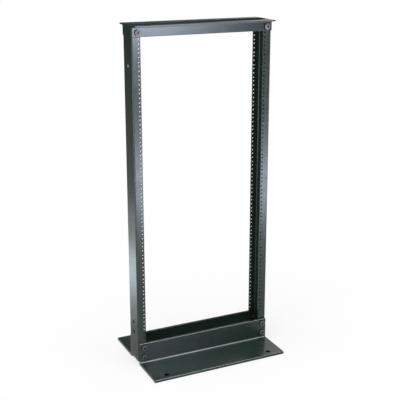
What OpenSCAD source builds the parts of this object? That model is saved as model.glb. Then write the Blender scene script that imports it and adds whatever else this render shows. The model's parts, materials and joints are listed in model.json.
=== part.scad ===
// Two post open frame rack for 19 inch equipment.
// Two channel posts with the universal hole pattern on both flanges stand
// between two wide base angles and are tied at the top by two small angles.
// Millimetres. +X to the right, front toward -Y, +Z up, floor at Z = 0.

/* [Equipment bay] */
// Number of rack units between the top and base angles
rack_units = 24; // [12:1:42]
// Height of one rack unit
unit_h = 44.45; // [44:0.05:45]
// Clear gap between the flange edges of the two posts
opening_w = 454; // [430:0.5:600]
// Distance of a hole column from its flange edge
hole_inset = 5.55; // [4.5:0.05:8]
// Step between the first and second hole of a unit, and the second and third
hole_step = 15.875; // [15.5:0.005:16]
// Diameter of the equipment screw holes
screw_hole_d = 5.6; // [4.8:0.1:7]
// Height of the lowest rack unit above the floor
first_unit_z = 95.5; // [90:0.1:130]

/* [Posts] */
// Depth of a channel post, front to back
post_depth = 76.2; // [70:0.1:100]
// Width of a channel flange
flange_w = 30.8; // [30.4:0.1:45]
// Wall thickness of the channel
channel_t = 4.8; // [3:0.1:5.2]
// Outside radius of the channel corners
channel_outer_r = 4; // [2:0.1:6]
// Inside radius of the channel corners
channel_inner_r = 4.5; // [1:0.1:4.9]
// Gap between the bottom of a post and the floor
post_lift = 13; // [1:0.5:18]
// Diameter of the joining holes through the webs
web_hole_d = 12.7; // [8:0.1:16]
// Height of the lower joining hole in each web
web_hole_low_z = 115.5; // [100:0.5:130]
// Step from the lower to the second joining hole
web_hole_step = 38.1; // [25:0.1:60]
// Drop of the upper joining hole below the top of the rack
web_hole_drop = 133.5; // [80:0.5:200]

/* [Top angles] */
// Height of the upright leg of a top angle
top_leg_h = 38.1; // [34:0.1:44]
// Reach of the flat leg of a top angle from the post face
top_leg_reach = 31.8; // [20:0.1:60]
// Thickness of the top angles
top_angle_t = 4.8; // [3:0.1:6.5]
// Inside radius of the top angles
top_fillet_r = 4.5; // [2:0.1:6]
// Edge radius of the top angle legs
top_toe_r = 2; // [0.5:0.1:2.4]
// How far the ends of the top angles stay inside the posts
top_angle_inset = 0.5; // [0:0.1:4]

/* [Base angles] */
// Height of the upright leg of a base angle
base_leg_h = 84; // [78:0.1:90]
// Reach of the flat leg of a base angle from the post face
base_leg_reach = 148; // [120:0.1:200]
// Thickness of the base angles
base_angle_t = 9.5; // [6:0.1:10]
// Inside radius of the base angles
base_fillet_r = 7; // [4:0.1:9]
// Edge radius of the base angle legs
base_toe_r = 3; // [1:0.1:4]
// How far the ends of the base angles stay inside the posts
base_angle_inset = 3; // [0:0.1:5]
// Diameter of the floor anchor holes
floor_hole_d = 15.9; // [10:0.1:20]
// Distance of the floor anchor holes from the ends of the angle
floor_hole_end = 52.8; // [20:0.1:120]
// Distance of the floor anchor holes from the edge of the leg
floor_hole_edge = 23.4; // [16:0.1:60]

/* [Assembly bolts] */
// Shank diameter of the assembly bolts
bolt_d = 12; // [10:0.1:12.7]
// Clearance of the bolt holes over the shank
bolt_clear = 1; // [0.4:0.1:1.5]
// Distance of a bolt from the flange edge of its post
bolt_inset = 12; // [11.5:0.1:12.4]
// Distance of a top bolt from the top of the rack
top_bolt_drop = 23.6; // [20:0.1:25]
// Height of the lower base bolts above the floor
base_bolt_z = 31; // [30:0.1:33]
// Step between the two bolts at each end of a base angle
base_bolt_step = 37; // [30:0.1:40]
// Head diameter of the assembly bolts
bolt_head_d = 21; // [17:0.1:22]
// Head height of the assembly bolts
bolt_head_h = 6.6; // [5:0.1:8]
// Hexagon socket size, across the corners
bolt_socket_d = 9.2; // [6:0.1:10]
// Depth of the hexagon socket
bolt_socket_h = 3.6; // [2:0.1:4.5]
// Hexagon nut size, across the corners
nut_d = 20.8; // [18:0.1:21]
// Height of a nut
nut_h = 10; // [8:0.1:11]
// Length of bolt that shows past its nut
bolt_show = 3; // [1:0.5:5]

/* [Hidden] */
$fn = 48;
cut = 1; // how far a cutter runs past the face it cuts

half_open = opening_w / 2;
half_w = half_open + flange_w;
half_d = post_depth / 2;
bay_top_z = first_unit_z + rack_units * unit_h;
rack_h = bay_top_z + top_leg_h;
first_hole = unit_h / 2 - hole_step;
hole_x = half_open + hole_inset;
bolt_x = half_open + bolt_inset;
floor_hole_x = half_w - base_angle_inset - floor_hole_end;
base_half_d = half_d + base_leg_reach;
bolt_hole_d = bolt_d + bolt_clear;
top_bolt_z = rack_h - top_bolt_drop;
base_bolt_low_z = base_bolt_z;
base_bolt_high_z = base_bolt_z + base_bolt_step;

// ---- posts ----

// Channel outline in plan for the left post: web at -X, flanges toward +X.
module channel_outside() {
    translate([-half_w, -half_d + channel_outer_r])
        square([flange_w, post_depth - 2 * channel_outer_r]);
    translate([-half_w + channel_outer_r, -half_d])
        square([flange_w - channel_outer_r, post_depth]);
    for (side = [-1, 1])
        translate([-half_w + channel_outer_r, side * (half_d - channel_outer_r)])
            circle(r = channel_outer_r);
}

module channel_inside() {
    inner_d = post_depth - 2 * channel_t;
    web_x = -half_w + channel_t;
    translate([web_x, -inner_d / 2 + channel_inner_r])
        square([flange_w, inner_d - 2 * channel_inner_r]);
    translate([web_x + channel_inner_r, -inner_d / 2])
        square([flange_w, inner_d]);
    for (side = [-1, 1])
        translate([web_x + channel_inner_r, side * (inner_d / 2 - channel_inner_r)])
            circle(r = channel_inner_r);
}

// One round hole through both flanges, along the depth of the rack.
module flange_hole(x, z, d) {
    translate([x, half_d + cut, z])
        rotate([90, 0, 0])
            cylinder(d = d, h = post_depth + 2 * cut);
}

// One joining hole through the web.
module web_hole(z) {
    translate([-half_w - cut, 0, z])
        rotate([0, 90, 0])
            cylinder(d = web_hole_d, h = channel_t + 2 * cut);
}

module channel_post() {
    difference() {
        translate([0, 0, post_lift])
            linear_extrude(height = rack_h - post_lift)
                difference() {
                    channel_outside();
                    channel_inside();
                }
        for (unit = [0 : rack_units - 1])
            for (row = [0 : 2])
                flange_hole(-hole_x,
                    first_unit_z + unit * unit_h + first_hole + row * hole_step,
                    screw_hole_d);
        for (z = [top_bolt_z, base_bolt_low_z, base_bolt_high_z])
            flange_hole(-bolt_x, z, bolt_hole_d);
        web_hole(web_hole_low_z);
        web_hole(web_hole_low_z + web_hole_step);
        web_hole(rack_h - web_hole_drop);
    }
}

module left_post() {
    color("dimgray") channel_post();
}

module right_post() {
    color("dimgray") mirror([1, 0, 0]) channel_post();
}

// ---- angles ----

// Angle outline: heel at the origin, flat leg along +X, upright leg along +Y.
module angle_section(reach, height, thick, fillet_r, toe_r) {
    difference() {
        union() {
            square([reach - toe_r, thick]);
            square([reach, thick - toe_r]);
            square([thick, height - toe_r]);
            square([thick - toe_r, height]);
            translate([reach - toe_r, thick - toe_r])
                circle(r = toe_r);
            translate([thick - toe_r, height - toe_r])
                circle(r = toe_r);
            square([thick + fillet_r, thick + fillet_r]);
        }
        translate([thick + fillet_r, thick + fillet_r])
            circle(r = fillet_r);
    }
}

// Front angle bar, its heel on the front faces of the posts.
module front_angle_bar(half_l, reach, height, thick, fillet_r, toe_r) {
    translate([-half_l, -half_d, 0])
        rotate([90, 0, 90])
            mirror([1, 0, 0])
                linear_extrude(height = 2 * half_l)
                    angle_section(reach, height, thick, fillet_r, toe_r);
}

// Bolt hole through the upright leg of a front angle.
module leg_bolt_hole(x, z, thick) {
    translate([x, -half_d + cut, z])
        rotate([90, 0, 0])
            cylinder(d = bolt_hole_d, h = thick + 2 * cut);
}

module base_angle() {
    difference() {
        front_angle_bar(half_w - base_angle_inset, base_leg_reach, base_leg_h,
            base_angle_t, base_fillet_r, base_toe_r);
        for (x = [-bolt_x, bolt_x])
            for (z = [base_bolt_low_z, base_bolt_high_z])
                leg_bolt_hole(x, z, base_angle_t);
        for (x = [-floor_hole_x, floor_hole_x])
            translate([x, -base_half_d + floor_hole_edge, -cut])
                cylinder(d = floor_hole_d, h = base_angle_t + 2 * cut);
    }
}

module top_angle() {
    difference() {
        translate([0, 0, rack_h])
            mirror([0, 0, 1])
                front_angle_bar(half_w - top_angle_inset, top_leg_reach, top_leg_h,
                    top_angle_t, top_fillet_r, top_toe_r);
        for (x = [-bolt_x, bolt_x])
            leg_bolt_hole(x, top_bolt_z, top_angle_t);
    }
}

module front_top_angle() {
    color("dimgray") top_angle();
}

module back_top_angle() {
    color("dimgray") mirror([0, 1, 0]) top_angle();
}

module front_base_angle() {
    color("dimgray") base_angle();
}

module back_base_angle() {
    color("dimgray") mirror([0, 1, 0]) base_angle();
}

// ---- assembly bolts ----

// Button head bolt, seat of the head at the origin, shank along +Y.
module bolt(grip) {
    shank_l = grip + nut_h + bolt_show;
    head_r = bolt_head_d / 2;
    dome_r = (head_r * head_r + bolt_head_h * bolt_head_h) / (2 * bolt_head_h);
    color("darkgray")
        rotate([-90, 0, 0]) {
            cylinder(d = bolt_d, h = shank_l);
            difference() {
                intersection() {
                    translate([0, 0, dome_r - bolt_head_h])
                        sphere(r = dome_r, $fn = 96);
                    translate([0, 0, -bolt_head_h - cut])
                        cylinder(r = head_r, h = bolt_head_h + cut);
                }
                translate([0, 0, -bolt_head_h - cut])
                    cylinder(d = bolt_socket_d, h = bolt_socket_h + cut, $fn = 6);
            }
        }
}

// Hexagon nut, seat at the origin, body along +Y, flats toward the web.
module nut() {
    color("darkgray")
        rotate([-90, 0, 0])
            difference() {
                rotate([0, 0, 30])
                    cylinder(d = nut_d, h = nut_h, $fn = 6);
                translate([0, 0, -cut])
                    cylinder(d = bolt_d, h = nut_h + 2 * cut);
            }
}

// Places a bolt and its nut part from the front left of the rack.
// side_x is -1 for left and 1 for right, side_y is 1 for front and -1 for back.
module at_joint(side_x, side_y, z, inward) {
    mirror([0, side_y < 0 ? 1 : 0, 0])
        translate([side_x * bolt_x, -half_d + inward, z])
            children();
}

module top_bolt(side_x, side_y) {
    at_joint(side_x, side_y, top_bolt_z, -top_angle_t)
        bolt(top_angle_t + channel_t);
}

module base_bolt(side_x, side_y, z) {
    at_joint(side_x, side_y, z, -base_angle_t)
        bolt(base_angle_t + channel_t);
}

module joint_nut(side_x, side_y, z) {
    at_joint(side_x, side_y, z, channel_t)
        nut();
}

left_post();
right_post();
front_top_angle();
back_top_angle();
front_base_angle();
back_base_angle();
top_bolt(-1, 1);  // top_bolt_front_left
top_bolt(1, 1);  // top_bolt_front_right
top_bolt(-1, -1);  // top_bolt_back_left
top_bolt(1, -1);  // top_bolt_back_right
base_bolt(-1, 1, base_bolt_high_z);  // base_bolt_front_left_upper
base_bolt(-1, 1, base_bolt_low_z);  // base_bolt_front_left_lower
base_bolt(1, 1, base_bolt_high_z);  // base_bolt_front_right_upper
base_bolt(1, 1, base_bolt_low_z);  // base_bolt_front_right_lower
base_bolt(-1, -1, base_bolt_high_z);  // base_bolt_back_left_upper
base_bolt(-1, -1, base_bolt_low_z);  // base_bolt_back_left_lower
base_bolt(1, -1, base_bolt_high_z);  // base_bolt_back_right_upper
base_bolt(1, -1, base_bolt_low_z);  // base_bolt_back_right_lower
joint_nut(-1, 1, top_bolt_z);  // top_nut_front_left
joint_nut(1, 1, top_bolt_z);  // top_nut_front_right
joint_nut(-1, -1, top_bolt_z);  // top_nut_back_left
joint_nut(1, -1, top_bolt_z);  // top_nut_back_right
joint_nut(-1, 1, base_bolt_high_z);  // base_nut_front_left_upper
joint_nut(-1, 1, base_bolt_low_z);  // base_nut_front_left_lower
joint_nut(1, 1, base_bolt_high_z);  // base_nut_front_right_upper
joint_nut(1, 1, base_bolt_low_z);  // base_nut_front_right_lower
joint_nut(-1, -1, base_bolt_high_z);  // base_nut_back_left_upper
joint_nut(-1, -1, base_bolt_low_z);  // base_nut_back_left_lower
joint_nut(1, -1, base_bolt_high_z);  // base_nut_back_right_upper
joint_nut(1, -1, base_bolt_low_z);  // base_nut_back_right_lower
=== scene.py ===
"""Two post open frame rack, finished for rendering.

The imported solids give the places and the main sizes.  Every bar is rebuilt over its solid as one
closed skin with eased edges and drilled holes, every bolt and nut with its thread, socket and
chamfers, and all of them carry satin black paint or dull plated steel made from shader nodes.
"""

import json
import logging
import math
import re
from dataclasses import dataclass, field
from enum import Enum
from typing import Callable, Dict, List, Sequence, Tuple, Union

import bpy
import numpy as np
from mathutils import Matrix, Vector


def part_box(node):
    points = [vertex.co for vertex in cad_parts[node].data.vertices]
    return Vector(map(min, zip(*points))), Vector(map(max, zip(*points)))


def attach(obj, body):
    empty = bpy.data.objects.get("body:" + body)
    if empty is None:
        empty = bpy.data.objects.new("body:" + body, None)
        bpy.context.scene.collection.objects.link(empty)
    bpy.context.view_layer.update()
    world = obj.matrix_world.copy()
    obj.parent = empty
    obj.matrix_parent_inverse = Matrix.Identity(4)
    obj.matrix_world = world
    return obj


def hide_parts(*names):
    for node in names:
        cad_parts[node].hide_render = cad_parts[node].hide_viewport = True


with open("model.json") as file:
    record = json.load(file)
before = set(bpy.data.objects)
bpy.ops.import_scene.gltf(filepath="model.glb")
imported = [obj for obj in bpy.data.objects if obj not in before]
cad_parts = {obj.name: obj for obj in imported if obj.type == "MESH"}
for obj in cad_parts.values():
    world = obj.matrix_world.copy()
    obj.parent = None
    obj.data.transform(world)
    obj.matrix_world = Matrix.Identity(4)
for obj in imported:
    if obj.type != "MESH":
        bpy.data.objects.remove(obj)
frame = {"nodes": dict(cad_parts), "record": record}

Array = np.ndarray
Pair = Sequence[float]
Triple = Tuple[float, float, float]
Level = Union[float, np.ndarray]
Mesh = bpy.types.Mesh
Piece = bpy.types.Object
Material = bpy.types.Material
Tree = bpy.types.NodeTree
Socket = bpy.types.NodeSocket

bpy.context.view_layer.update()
BODY = "root"
MM = 0.001  # a millimetre in metres
BREAK_GAP = 0.0003  # least gap between two breaks of an outline
END_SHARE = 0.002  # share of a run, at each end, that gets no break
EASE_STEPS = 3  # straight pieces of an eased edge
log = logging.getLogger("open_frame_rack")


class Slot(Enum):
    """The finishes of the record that a piece can take."""

    PAINT = "frame_paint"
    STEEL = "hardware"


class End(Enum):
    """Which way a front or back angle faces along Y."""

    FRONT = -1.0
    BACK = 1.0


class Zone(Enum):
    """What a face is to the finishes: each zone but the first is an attribute of the mesh."""

    PLAIN = "plain"
    WORN_EDGE = "worn_edge"
    # Painted shade: faces in bores, hole rims, sockets, threads and on the shaded flank of bolt heads
    # get a darker, sheenless colour that stands in for the shade there. Its mesh attribute is still
    # called hollow.
    HOLLOW = "hollow"
    BARE = "bare_metal"

    @property
    def mark(self) -> int:
        """Gives the number that stands for the zone while a mesh is in the making."""
        return list(Zone).index(self)


# ---------------------------------------------------------------- outlines


@dataclass
class Run:
    """One stretch of an outline: points, outward directions, and whether it is an eased edge."""

    name: str
    points: Array
    normals: Array
    eased: bool = False


def flat_run(name: str, start: Pair, end: Pair, breaks: Sequence[float] = ()) -> Run:
    """Makes a straight stretch with a point at each break.

    The points are start + share * (end - start), where share runs from 0 to 1 through the breaks.

    Args:
        name: What the stretch is called when a hole looks for it.
        start: First point, in metres.
        end: Last point, in metres.
        breaks: Values, along the axis that the stretch follows, where it gets a point.

    Returns:
        The stretch, with its outward side on the right of its direction of travel.
    """
    first, last = np.asarray(start, float), np.asarray(end, float)
    axis = int(np.argmax(np.abs(last - first)))
    share = (np.asarray(sorted(breaks), float) - first[axis]) / (last[axis] - first[axis])
    share = np.sort(share[(share > END_SHARE) & (share < 1 - END_SHARE)])
    share = np.concatenate([[0.0], share, [1.0]])
    points = first + share[:, None] * (last - first)
    along = (last - first) / np.linalg.norm(last - first)
    normals = np.tile([along[1], -along[0]], (len(points), 1))
    return Run(name, points, normals)


def arc_run(centre: Pair, radius: float, start: float, end: float, steps: int = EASE_STEPS) -> Run:
    """Makes a round stretch: centre + radius * (cos a, sin a), with a from start to end.

    Args:
        centre: Middle of the arc.
        radius: Its radius, in metres.
        start: First angle, in degrees.
        end: Last angle.  Below start, the arc is the hollow of a fillet and faces its own centre.
        steps: How many straight pieces it has.

    Returns:
        The stretch, marked as an eased edge where it stands proud.
    """
    angle = np.radians(np.linspace(start, end, steps + 1))
    spoke = np.stack([np.cos(angle), np.sin(angle)], 1)
    proud = end > start
    return Run("", np.asarray(centre, float) + radius * spoke, spoke if proud else -spoke, proud)


@dataclass
class Outline:
    """A closed outline, drawn counterclockwise as runs that meet end to end."""

    runs: List[Run]
    points: Array = field(init=False)
    normals: Array = field(init=False)
    eased: Array = field(init=False)
    span: Dict[str, Tuple[int, int]] = field(init=False)

    def __post_init__(self) -> None:
        """Joins the runs and notes where each named one starts and ends."""
        self.points = np.concatenate([run.points[:-1] for run in self.runs])
        self.normals = np.concatenate([run.normals[:-1] for run in self.runs])
        counts = [len(run.points) - 1 for run in self.runs]
        self.eased = np.repeat([run.eased for run in self.runs], counts)
        starts = np.cumsum([0] + counts)
        self.span = {
            run.name: (int(first), int(last))
            for run, first, last in zip(self.runs, starts, starts[1:]) if run.name
        }

    def indices(self, name: str) -> Array:
        """Gives the index of every point on a named run, both ends included."""
        first, last = self.span[name]
        return np.arange(first, last + 1) % len(self.points)


# ---------------------------------------------------------------- meshes


@dataclass
class Skin:
    """A mesh in the making: points, quads, end caps, a zone mark for each quad, point normals."""

    points: Array
    quads: Array
    caps: List[Array]
    marks: Array
    normals: Array | None = None

    def to_mesh(self, name: str, flip: bool = False, sharp_deg: float = 35.0) -> Mesh:
        """Writes the skin into a new mesh.

        Args:
            name: Name of the mesh.
            flip: True turns every face over, for a skin that was mirrored.
            sharp_deg: Edges bent more than this stay crisp where the skin gives no normals.

        Returns:
            The mesh, with a mask for every zone but the plain one.
        """
        order = slice(None, None, -1) if flip else slice(None)
        caps = [cap[order] for cap in self.caps]
        corners = np.concatenate([self.quads[:, order].ravel(), *caps]).astype(np.int32)
        sizes = np.array([4] * len(self.quads) + [len(cap) for cap in caps], np.int32)
        starts = np.concatenate([[0], np.cumsum(sizes)[:-1]]).astype(np.int32)
        mesh = bpy.data.meshes.new(name)
        mesh.vertices.add(len(self.points))
        mesh.vertices.foreach_set("co", self.points.astype(np.float32).ravel())
        mesh.loops.add(len(corners))
        mesh.loops.foreach_set("vertex_index", corners)
        mesh.polygons.add(len(sizes))
        mesh.polygons.foreach_set("loop_start", starts)
        mesh.update(calc_edges=True)
        if mesh.validate():
            log.warning("%s needed repair", name)
        marks = np.concatenate([self.marks, np.zeros(len(caps))])
        for zone in list(Zone)[1:]:
            mask = (marks == zone.mark).astype(np.float32)
            mesh.attributes.new(zone.value, "FLOAT", "FACE").data.foreach_set("value", mask)
        mesh.shade_smooth()
        if self.normals is None:
            mesh.set_sharp_from_angle(angle=math.radians(sharp_deg))
        else:
            mesh.normals_split_custom_set_from_vertices(self.normals.tolist())
        return mesh


def place(mesh: Mesh, material: Material, node: str) -> Piece:
    """Puts a finished mesh into the scene over the solid that it stands for.

    Args:
        mesh: The mesh, with its place in its points.
        material: Its finish.
        node: The solid that it replaces.

    Returns:
        The new piece.
    """
    mesh.materials.append(material)
    piece = bpy.data.objects.new(mesh.name, mesh)
    bpy.context.scene.collection.objects.link(piece)
    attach(piece, BODY)
    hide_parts(node)
    log.info("%s: %d faces", piece.name, len(mesh.polygons))
    return piece


# ---------------------------------------------------------------- drilled bars


@dataclass(frozen=True)
class Drill:
    """How a kind of hole is cut: the skin opened round it, how finely, its chamfers and its rim."""

    margin: float
    divisions: int
    chamfer: float
    far_chamfer: float
    rim: Zone = Zone.WORN_EDGE

    def stops(self, radius: float) -> Array:
        """Gives the places where the skin is cut across a hole, measured from the hole's middle."""
        return (radius + self.margin) * np.linspace(-1, 1, self.divisions + 1)


# Screw, web and floor hole rims carry painted shade, a dark colour standing in for the shade at the
# hole's mouth. Bolt hole rims carry edge wear.
SCREW_DRILL = Drill(0.0012, 3, chamfer=0.0002, far_chamfer=0.0, rim=Zone.HOLLOW)
BOLT_DRILL = Drill(0.0022, 5, chamfer=0.0004, far_chamfer=0.0004)
WEB_DRILL = Drill(0.0025, 6, chamfer=0.0005, far_chamfer=0.0005, rim=Zone.HOLLOW)
FLOOR_DRILL = Drill(0.004, 7, chamfer=0.0006, far_chamfer=0.0004, rim=Zone.HOLLOW)


@dataclass(frozen=True)
class Hole:
    """A round hole square through one wall, from the run it enters to the run it leaves."""

    near: str
    far: str
    across: float
    along: float
    radius: float
    drill: Drill
    # The bore carries painted shade unless another zone is given.
    bore: Zone = Zone.HOLLOW

    def stops(self, centre: float) -> List[float]:
        """Gives the places where the skin is cut round the hole, either side of a centre."""
        return list(centre + self.drill.stops(self.radius))


def spread(values: Sequence[float], apart: float) -> Array:
    """Sorts values and drops each that comes closer than a gap to the one before it.

    Args:
        values: The places.
        apart: The least gap between two of them.

    Returns:
        The places that are left.
    """
    kept: List[float] = []
    for value in sorted(values):
        if not kept or value - kept[-1] > apart:
            kept.append(value)
    return np.asarray(kept)


def breaks_for(holes: Sequence[Hole], run: str) -> Array:
    """Gives the places across a run where the holes that enter it need a break."""
    stops = [stop for hole in holes if hole.near == run for stop in hole.stops(hole.across)]
    return spread(stops, BREAK_GAP)


@dataclass
class DrilledBar:
    """A bar of one section, with eased ends and drilled walls.

    The skin is point(k, j) = outline(k) carried along the bar to station(j).  Near an end the
    outline shrinks by ease * (1 - sin f) while the station moves by ease * (1 - cos f), a quarter
    round.  Round a hole the grid is opened, and rings of points lead from the opening to the rim,
    down the bore and out to the opening on the other side of the wall.
    """

    outline: Outline
    start: float
    end: float
    holes: List[Hole]
    axes: Matrix
    ease: float = 0.0006
    apart: float = 0.0004

    def stations(self) -> Tuple[Array, Array, Array]:
        """Gives the places along the bar.

        Returns:
            The stations, how far the outline is shrunk at each, and how far its normals lean
            toward the end there, in radians.
        """
        turn = np.linspace(0, math.pi / 2, EASE_STEPS + 1)
        slide, shrink = self.ease * (1 - np.cos(turn)), self.ease * (1 - np.sin(turn))
        low, high = self.start + self.ease + self.apart, self.end - self.ease - self.apart
        wanted = [stop for hole in self.holes for stop in hole.stops(hole.along)]
        inner = spread([value for value in wanted if low < value < high], self.apart)
        station = np.concatenate([self.start + slide, inner, self.end - slide[::-1]])
        inset = np.concatenate([shrink, np.zeros(len(inner)), shrink[::-1]])
        lean = np.concatenate([turn - math.pi / 2, np.zeros(len(inner)), math.pi / 2 - turn[::-1]])
        return station, inset, lean

    def opening(self, station: Array, hole: Hole, side: str) -> Tuple[Array, Array]:
        """Finds the part of the grid that a hole opens on one side of its wall.

        Args:
            station: The places along the bar.
            hole: The hole.
            side: Name of the run on that side.

        Returns:
            The columns and the rows of the grid that lie in the opening, edges included.
        """
        columns = self.outline.indices(side)
        points = self.outline.points[columns]
        axis = int(np.argmax(np.ptp(points, axis=0)))
        reach = hole.radius + hole.drill.margin + self.apart
        columns = columns[np.abs(points[:, axis] - hole.across) < reach]
        rows = np.flatnonzero(np.abs(station - hole.along) < reach)
        return columns, rows

    def lining(self, hole: Hole, near: Array, far: Array, points: Array, first: int) -> Skin:
        """Makes the rings of one hole.

        Ring i has points centre + radius_i * (cos a, sin a) at depth_i below the near face, where a
        is the bearing of each point on the edge of the opening.

        Args:
            hole: The hole.
            near: Grid points round the opening on the near side, in order.
            far: Grid points of the far opening, each opposite its near one.
            points: All the grid points.
            first: Index that the first new point gets.

        Returns:
            The new points and quads.
        """
        edge = points[near]
        normal = edge[0] - points[far[0]]
        depth = float(np.linalg.norm(normal))
        normal = normal / depth
        middle = np.array([0.0, 0.0, hole.along])
        across = int(np.argmax(np.ptp(edge[:, :2], axis=0)))
        middle[across] = hole.across
        middle[1 - across] = edge[0, 1 - across]
        spoke = edge - middle
        spoke = spoke / np.linalg.norm(spoke, axis=1)[:, None]
        count, cut, far_cut = len(near), hole.drill.chamfer, hole.drill.far_chamfer
        level, plain, rim = np.tile(normal, (count, 1)), Zone.PLAIN.mark, hole.drill.rim.mark
        steps = [(0.0, cut, level, rim), (cut, 0.0, -spoke, hole.bore.mark)]
        if far_cut > 0:
            steps += [(depth - far_cut, 0.0, -spoke, rim), (depth, far_cut, -level, plain)]
        else:
            steps += [(depth, 0.0, -spoke, plain)]
        rings = [middle + (hole.radius + wide) * spoke - down * normal for down, wide, *_ in steps]
        facing = [out for _, _, out, _ in steps]
        made = [first + ring * count + np.arange(count) for ring in range(len(steps))]
        quads = [
            np.stack([a, np.roll(a, -1), np.roll(b, -1), b], 1)
            for a, b in zip([near, *made], [*made, far])
        ]
        marks = np.repeat([plain] + [mark for *_, mark in steps], count)
        return Skin(np.concatenate(rings), np.concatenate(quads), [], marks, np.concatenate(facing))

    def skin(self) -> Skin:
        """Works out the whole skin, in the bar's own axes.

        Returns:
            The skin, closed by a cap at each end.
        """
        station, inset, lean = self.stations()
        columns, rows = len(self.outline.points), len(station)
        flat = self.outline.points[None] - inset[:, None, None] * self.outline.normals[None]
        level = np.cos(lean)[:, None, None] * self.outline.normals[None]
        points, normals = (
            np.dstack([part, np.repeat(axial[:, None], columns, 1)]).reshape(-1, 3)
            for part, axial in ((flat, station), (level, np.sin(lean)))
        )
        index = np.arange(rows * columns).reshape(rows, columns)
        right = np.roll(index, -1, axis=1)
        quads = np.stack([index[:-1], right[:-1], right[1:], index[1:]], 2)
        at_end = (inset[:-1] > 0) | (inset[1:] > 0)
        marks = np.maximum(self.outline.eased[None], at_end[:, None]) * Zone.WORN_EDGE.mark
        kept = np.ones((rows - 1, columns), bool)
        linings: List[Skin] = []
        first = len(points)
        for hole in self.holes:
            loops = []
            for side in (hole.near, hole.far):
                cols, rws = self.opening(station, hole, side)
                kept[np.ix_(rws[:-1], cols[:-1])] = False
                loops.append(np.concatenate([
                    index[rws[0], cols], index[rws[1:], cols[-1]],
                    index[rws[-1], cols[-2::-1]], index[rws[-2:0:-1], cols[0]],
                ]))
            near, other = loops
            gap = np.linalg.norm(points[near][:, None] - points[other][None], axis=2)
            linings.append(self.lining(hole, near, other[gap.argmin(1)], points, first))
            first += len(linings[-1].points)
        caps = [index[0, ::-1], index[-1]]
        parts = [Skin(points, quads[kept], caps, marks[kept], normals), *linings]
        return Skin(
            np.concatenate([part.points for part in parts]),
            np.concatenate([part.quads for part in parts]),
            caps,
            np.concatenate([part.marks for part in parts]),
            np.concatenate([part.normals for part in parts]),
        )

    def to_mesh(self, name: str) -> Mesh:
        """Carries the skin into the row frame.

        Args:
            name: Name of the mesh.

        Returns:
            The mesh.
        """
        skin = self.skin()
        turn = np.array(self.axes.to_3x3())
        skin.points = skin.points @ turn.T + np.array(self.axes.translation)
        skin.normals = skin.normals @ turn.T
        return skin.to_mesh(name, flip=bool(np.linalg.det(turn) < 0))


def axes_of(x: Triple, y: Triple, along: Triple, origin: Triple) -> Matrix:
    """Makes the matrix that carries a bar's own axes into the row frame.

    Args:
        x: Where the outline's first axis points.
        y: Where the outline's second axis points.
        along: Where the bar runs.
        origin: Where the bar's zero is.

    Returns:
        The matrix.
    """
    matrix = Matrix((x, y, along)).transposed().to_4x4()
    matrix.translation = Vector(origin)
    return matrix


# ---------------------------------------------------------------- facts from the frame


@dataclass(frozen=True)
class Fixings:
    """Where holes and bolts are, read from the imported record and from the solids."""

    mounts: Dict[str, dict]

    @classmethod
    def from_record(cls, record: dict) -> "Fixings":
        """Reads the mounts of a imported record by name."""
        return cls({mount["name"]: mount for mount in record["mounts"]})

    def screw_rows(self) -> List[float]:
        """Works out the height of every equipment screw hole.

        Unit n of the universal pattern has holes at centre(1) + (n - 1) * pitch, and a step below
        and above it, so the first and last stated units give the pitch.

        Returns:
            The heights, lowest first.
        """
        units = {
            int(found.group(1)): mount
            for name, mount in self.mounts.items()
            if (found := re.fullmatch(r"front_unit_(\d+)_screws", name))
        }
        first, last = min(units), max(units)
        low, high = (units[unit]["pos_m"][2] for unit in (first, last))
        pitch = (high - low) / (last - first)
        step = units[first]["dims"]["spacing_y_mm"] / 2 * MM
        return [low + unit * pitch + row * step for unit in range(last) for row in (-1, 0, 1)]

    def screw_column(self) -> Tuple[float, float]:
        """Gives how far the screw holes are from the middle of the rack, and their radius."""
        dims = self.mounts["front_unit_01_screws"]["dims"]
        return dims["spacing_x_mm"] / 2 * MM, dims["hole_r_mm"] * MM

    def web_holes(self) -> List[Tuple[float, float]]:
        """Reads the joining holes of a web.

        Returns:
            The height and radius of each, lowest first.
        """
        pair, upper = self.mounts["left_web_lower_holes"], self.mounts["left_web_upper_hole"]
        half, middle = pair["dims"]["spacing_y_mm"] / 2 * MM, pair["pos_m"][2]
        radius = pair["dims"]["hole_r_mm"] * MM
        low = [(middle - half, radius), (middle + half, radius)]
        return low + [(upper["pos_m"][2], upper["dims"]["r_mm"] * MM)]

    def floor_holes(self) -> Tuple[float, float, float]:
        """Gives a floor anchor hole's distance from the middle along X and Y, and its radius."""
        dims = self.mounts["floor_anchors"]["dims"]
        return dims["spacing_x_mm"] / 2 * MM, dims["spacing_y_mm"] / 2 * MM, dims["hole_r_mm"] * MM

    @staticmethod
    def bolt_axis(node: str) -> Tuple[float, float]:
        """Gives the X and Z of the line through the middle of a bolt."""
        low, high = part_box(node)
        return (low.x + high.x) / 2, (low.z + high.z) / 2


# ---------------------------------------------------------------- bars of the rack


@dataclass
class RackBar:
    """A painted bar of the rack: each kind says how it is drilled, drawn and laid."""

    node: str
    fixings: Fixings

    def holes(self) -> List[Hole]:
        """Lists the holes of the bar."""
        raise NotImplementedError

    def outline(self, holes: Sequence[Hole]) -> Outline:
        """Draws the section of the bar, with breaks for its holes."""
        raise NotImplementedError

    def lay(self) -> Tuple[float, float, Matrix]:
        """Gives where the bar starts and ends, and the matrix of its own axes."""
        raise NotImplementedError

    def build(self, material: Material) -> Piece:
        """Makes the bar and puts it over its solid.

        Args:
            material: Its finish.

        Returns:
            The new piece.
        """
        holes = self.holes()
        start, end, axes = self.lay()
        bar = DrilledBar(self.outline(holes), start, end, holes, axes)
        return place(bar.to_mesh("painted_" + self.node), material, self.node)


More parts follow.
